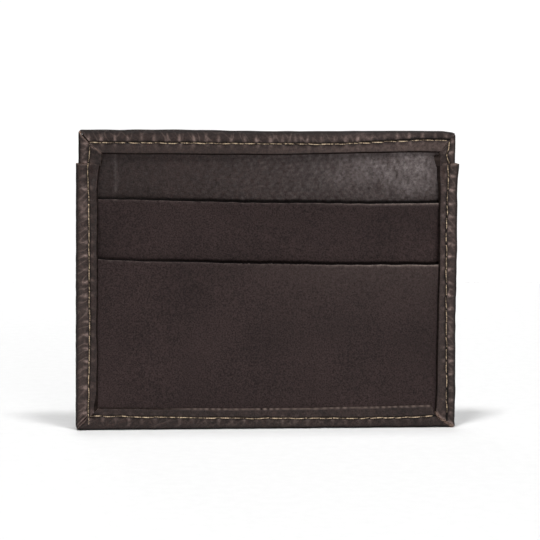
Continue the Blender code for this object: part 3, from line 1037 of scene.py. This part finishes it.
def build_rim():
    """The strips and stitches that join the two halves."""
    strips = rim_strips()
    rounds = [(side, -1, side * HALF_WIDTH, 0, radius) for side, radius in FOOT_ROUNDS]
    for name, strip in strips.items():
        is_bottom = name == "bottom"
        node = "bottom_binding" if is_bottom else f"{name}_side_binding"
        obj = strip.mesh(f"{name}_strip", LONG_STATIONS if is_bottom else SIDE_STATIONS, rounds)
        mount(obj, WALLET, "binding_leather", node)
    runs = [(strips["left"], 0.16, 0.04), (strips["bottom"], 0.16, 0.06), (strips["right"], 0.38, 0.14)]
    stitched("rim_needle_stitches", runs, 1, 71, WALLET, "rim_needle_thread")
    stitched("rim_bobbin_stitches", runs, -1, 72, WALLET, "rim_bobbin_thread")


def build_half(prefix, turn, seed):
    """One half: its pockets, facing, lining and lip. Turn is 1 for the front and -1 for the back."""
    lip_body = f"{prefix}_lip_body"
    upper, lower = f"{prefix}_upper_pocket", f"{prefix}_lower_pocket"

    def lower_mouth(x):
        return mouth_line(x, LOWER_MOUTH, seed + 2, lower_fray)

    upper_shape = (upper_low, upper_high, UPPER_MOUTH, upper_fray)
    lower_shape = (lower_low, lower_high, LOWER_MOUTH, lower_fray)
    pocket(f"{upper}_leather", turn, seed + 1, *upper_shape, upper, behind=lower_mouth)
    pocket(f"{lower}_leather", turn, seed + 2, *lower_shape, lower, painted_sheen=0.17)
    facing = lip_sheet(
        f"{prefix}_facing_leather", turn, seed + 1, facing_low, facing_high,
        facing_relief(seed + 3), facing_wear_and_sheen(seed + 3), [FACING, FLESH, PAINTED_SHADE_EDGE, PAINTED_SHADE_EDGE],
        "facing_leather", [f"{prefix}_facing", f"{prefix}_lip_facing"],
    )
    lining = lip_sheet(
        f"{prefix}_lining_cloth", turn, seed + 1, lining_low, lining_high,
        no_mark, no_mark, [LINING] * 4,
        "lining_fabric", [f"{prefix}_lining", f"{prefix}_lip_lining"],
    )
    strips = lip_strips(turn, seed + 60)
    rounds = [(side * turn, 1, side * turn * LIP_HALF, HEIGHT, radius) for side, radius in LIP_ROUNDS]
    # The back half's own left is the front's right.
    for own_side, front_side in zip(("left", "right"), ("left", "right")[::turn]):
        ear = f"{prefix}_{front_side}_ear"
        obj = strips[own_side].mesh(f"{ear}_strip", EAR_STATIONS, rounds)
        bend_at_lip(obj)
        stand_for(obj, "binding_leather", f"{ear}_binding")
    obj = strips["top"].mesh(f"{prefix}_top_strip", LONG_STATIONS, rounds)
    mount(obj, lip_body, "binding_leather", f"{prefix}_top_binding")
    runs = [(strips["left"], 0.05, 0.04), (strips["top"], 0.22, 0.08), (strips["right"], 0.30, 0.10)]
    stitched(f"{prefix}_lip_needle_stitches", runs, 1, seed + 91, lip_body, f"{prefix}_lip_needle_thread")
    stitched(f"{prefix}_lip_bobbin_stitches", runs, -1, seed + 92, lip_body, f"{prefix}_lip_bobbin_thread")
    foot_stitches(f"{prefix}_foot_stitches", turn, f"{prefix}_foot_seam")


build_rim()
build_half("front", 1, 100)
build_half("back", -1, 400)

# ------------------------ studio, in metres

FLOOR_REACH = 0.32
SKY_FRONT, SKY_BACK = 0.09, 0.03
AZIMUTH, ELEVATION, ROLL = -6.1, 6.4, 0.70
DISTANCE, LENS = 0.5, 126.9  # LENS in mm
TARGET = (0.0008, 0.0, 0.0415)
SOFTBOX_SIZE, SOFTBOX_AIM = (0.25, 0.15), (0, 0, 0.04)


def from_side(azimuth, elevation):
    """The direction to a place around the wallet: azimuth 0 is the front, 90 the right."""
    a, e = math.radians(azimuth), math.radians(elevation)
    return Vector((math.sin(a) * math.cos(e), -math.cos(a) * math.cos(e), math.sin(e)))


def stage_floor():
    mesh = bpy.data.meshes.new("floor")
    bm = bmesh.new()
    bmesh.ops.create_grid(bm, x_segments=2, y_segments=2, size=FLOOR_REACH)
    bm.to_mesh(mesh)
    bm.free()
    mesh.materials.append(floor_material("white_paper"))
    floor = bpy.data.objects.new("floor", mesh)
    bpy.context.scene.collection.objects.link(floor)


def softbox(name, place, power):
    """A broad lamp that looks at the wallet."""
    data = bpy.data.lights.new(name, "AREA")
    data.shape = "RECTANGLE"
    data.size, data.size_y = SOFTBOX_SIZE
    data.energy = power
    light = bpy.data.objects.new(name, data)
    light.location = place
    direction = np.array(SOFTBOX_AIM) - np.array(place)
    light.rotation_euler = Vector(direction).to_track_quat("-Z", "Y").to_euler()
    bpy.context.scene.collection.objects.link(light)


def sun(name, azimuth, elevation, spread, strength):
    """Soft light from one side. Spread is in degrees."""
    data = bpy.data.lights.new(name, "SUN")
    data.angle = math.radians(spread)
    data.energy = strength
    light = bpy.data.objects.new(name, data)
    light.rotation_euler = (-from_side(azimuth, elevation)).to_track_quat("-Z", "Y").to_euler()
    bpy.context.scene.collection.objects.link(light)


def studio_world():
    """White to the camera; as a light it is dim, and dimmest behind the wallet."""
    world = bpy.data.worlds.new("studio")
    bpy.context.scene.world = world
    world.use_nodes = True
    tree = world.node_tree
    tree.nodes.clear()
    link = tree.links.new
    split = tree.nodes.new("ShaderNodeSeparateXYZ")
    link(tree.nodes.new("ShaderNodeTexCoord").outputs["Generated"], split.inputs[0])
    front = tree.nodes.new("ShaderNodeMapRange")
    link(split.outputs["Y"], front.inputs["Value"])
    front.inputs["From Min"].default_value, front.inputs["From Max"].default_value = -0.6, 0.5
    front.inputs["To Min"].default_value, front.inputs["To Max"].default_value = SKY_FRONT, SKY_BACK
    light = tree.nodes.new("ShaderNodeBackground")
    link(front.outputs[0], light.inputs["Strength"])
    white = tree.nodes.new("ShaderNodeBackground")
    white.inputs["Strength"].default_value = 1.05
    for shade in (light, white):
        shade.inputs["Color"].default_value = (1, 1, 1, 1)
    mix = tree.nodes.new("ShaderNodeMixShader")
    link(tree.nodes.new("ShaderNodeLightPath").outputs["Is Camera Ray"], mix.inputs[0])
    link(light.outputs[0], mix.inputs[1])
    link(white.outputs[0], mix.inputs[2])
    link(mix.outputs[0], tree.nodes.new("ShaderNodeOutputWorld").inputs[0])


def studio_camera():
    """The camera, fitted to the four corners of the wallet in the photo."""
    back = from_side(AZIMUTH, ELEVATION)
    data = bpy.data.cameras.new("camera")
    data.lens, data.sensor_width = LENS, 36.0
    data.clip_start = 0.01
    camera = bpy.data.objects.new("camera", data)
    camera.location = Vector(TARGET) + back * DISTANCE
    aim = (-back).to_track_quat("-Z", "Y")
    camera.rotation_euler = (aim @ Quaternion((0, 0, 1), math.radians(ROLL))).to_euler()
    bpy.context.scene.collection.objects.link(camera)
    bpy.context.scene.camera = camera


stage_floor()
studio_world()
sun("left_key", -40, 72, 9, 2.15)
sun("right_key", 40, 72, 9, 1.60)
sun("back_light", 180, 82, 8, 0.85)
softbox("front_softbox", (0.15, -0.62, 0.16), 1.3)
softbox("back_softbox", (-0.15, 0.62, 0.26), 0.6)
studio_camera()
bpy.context.scene.view_settings.view_transform = "Standard"
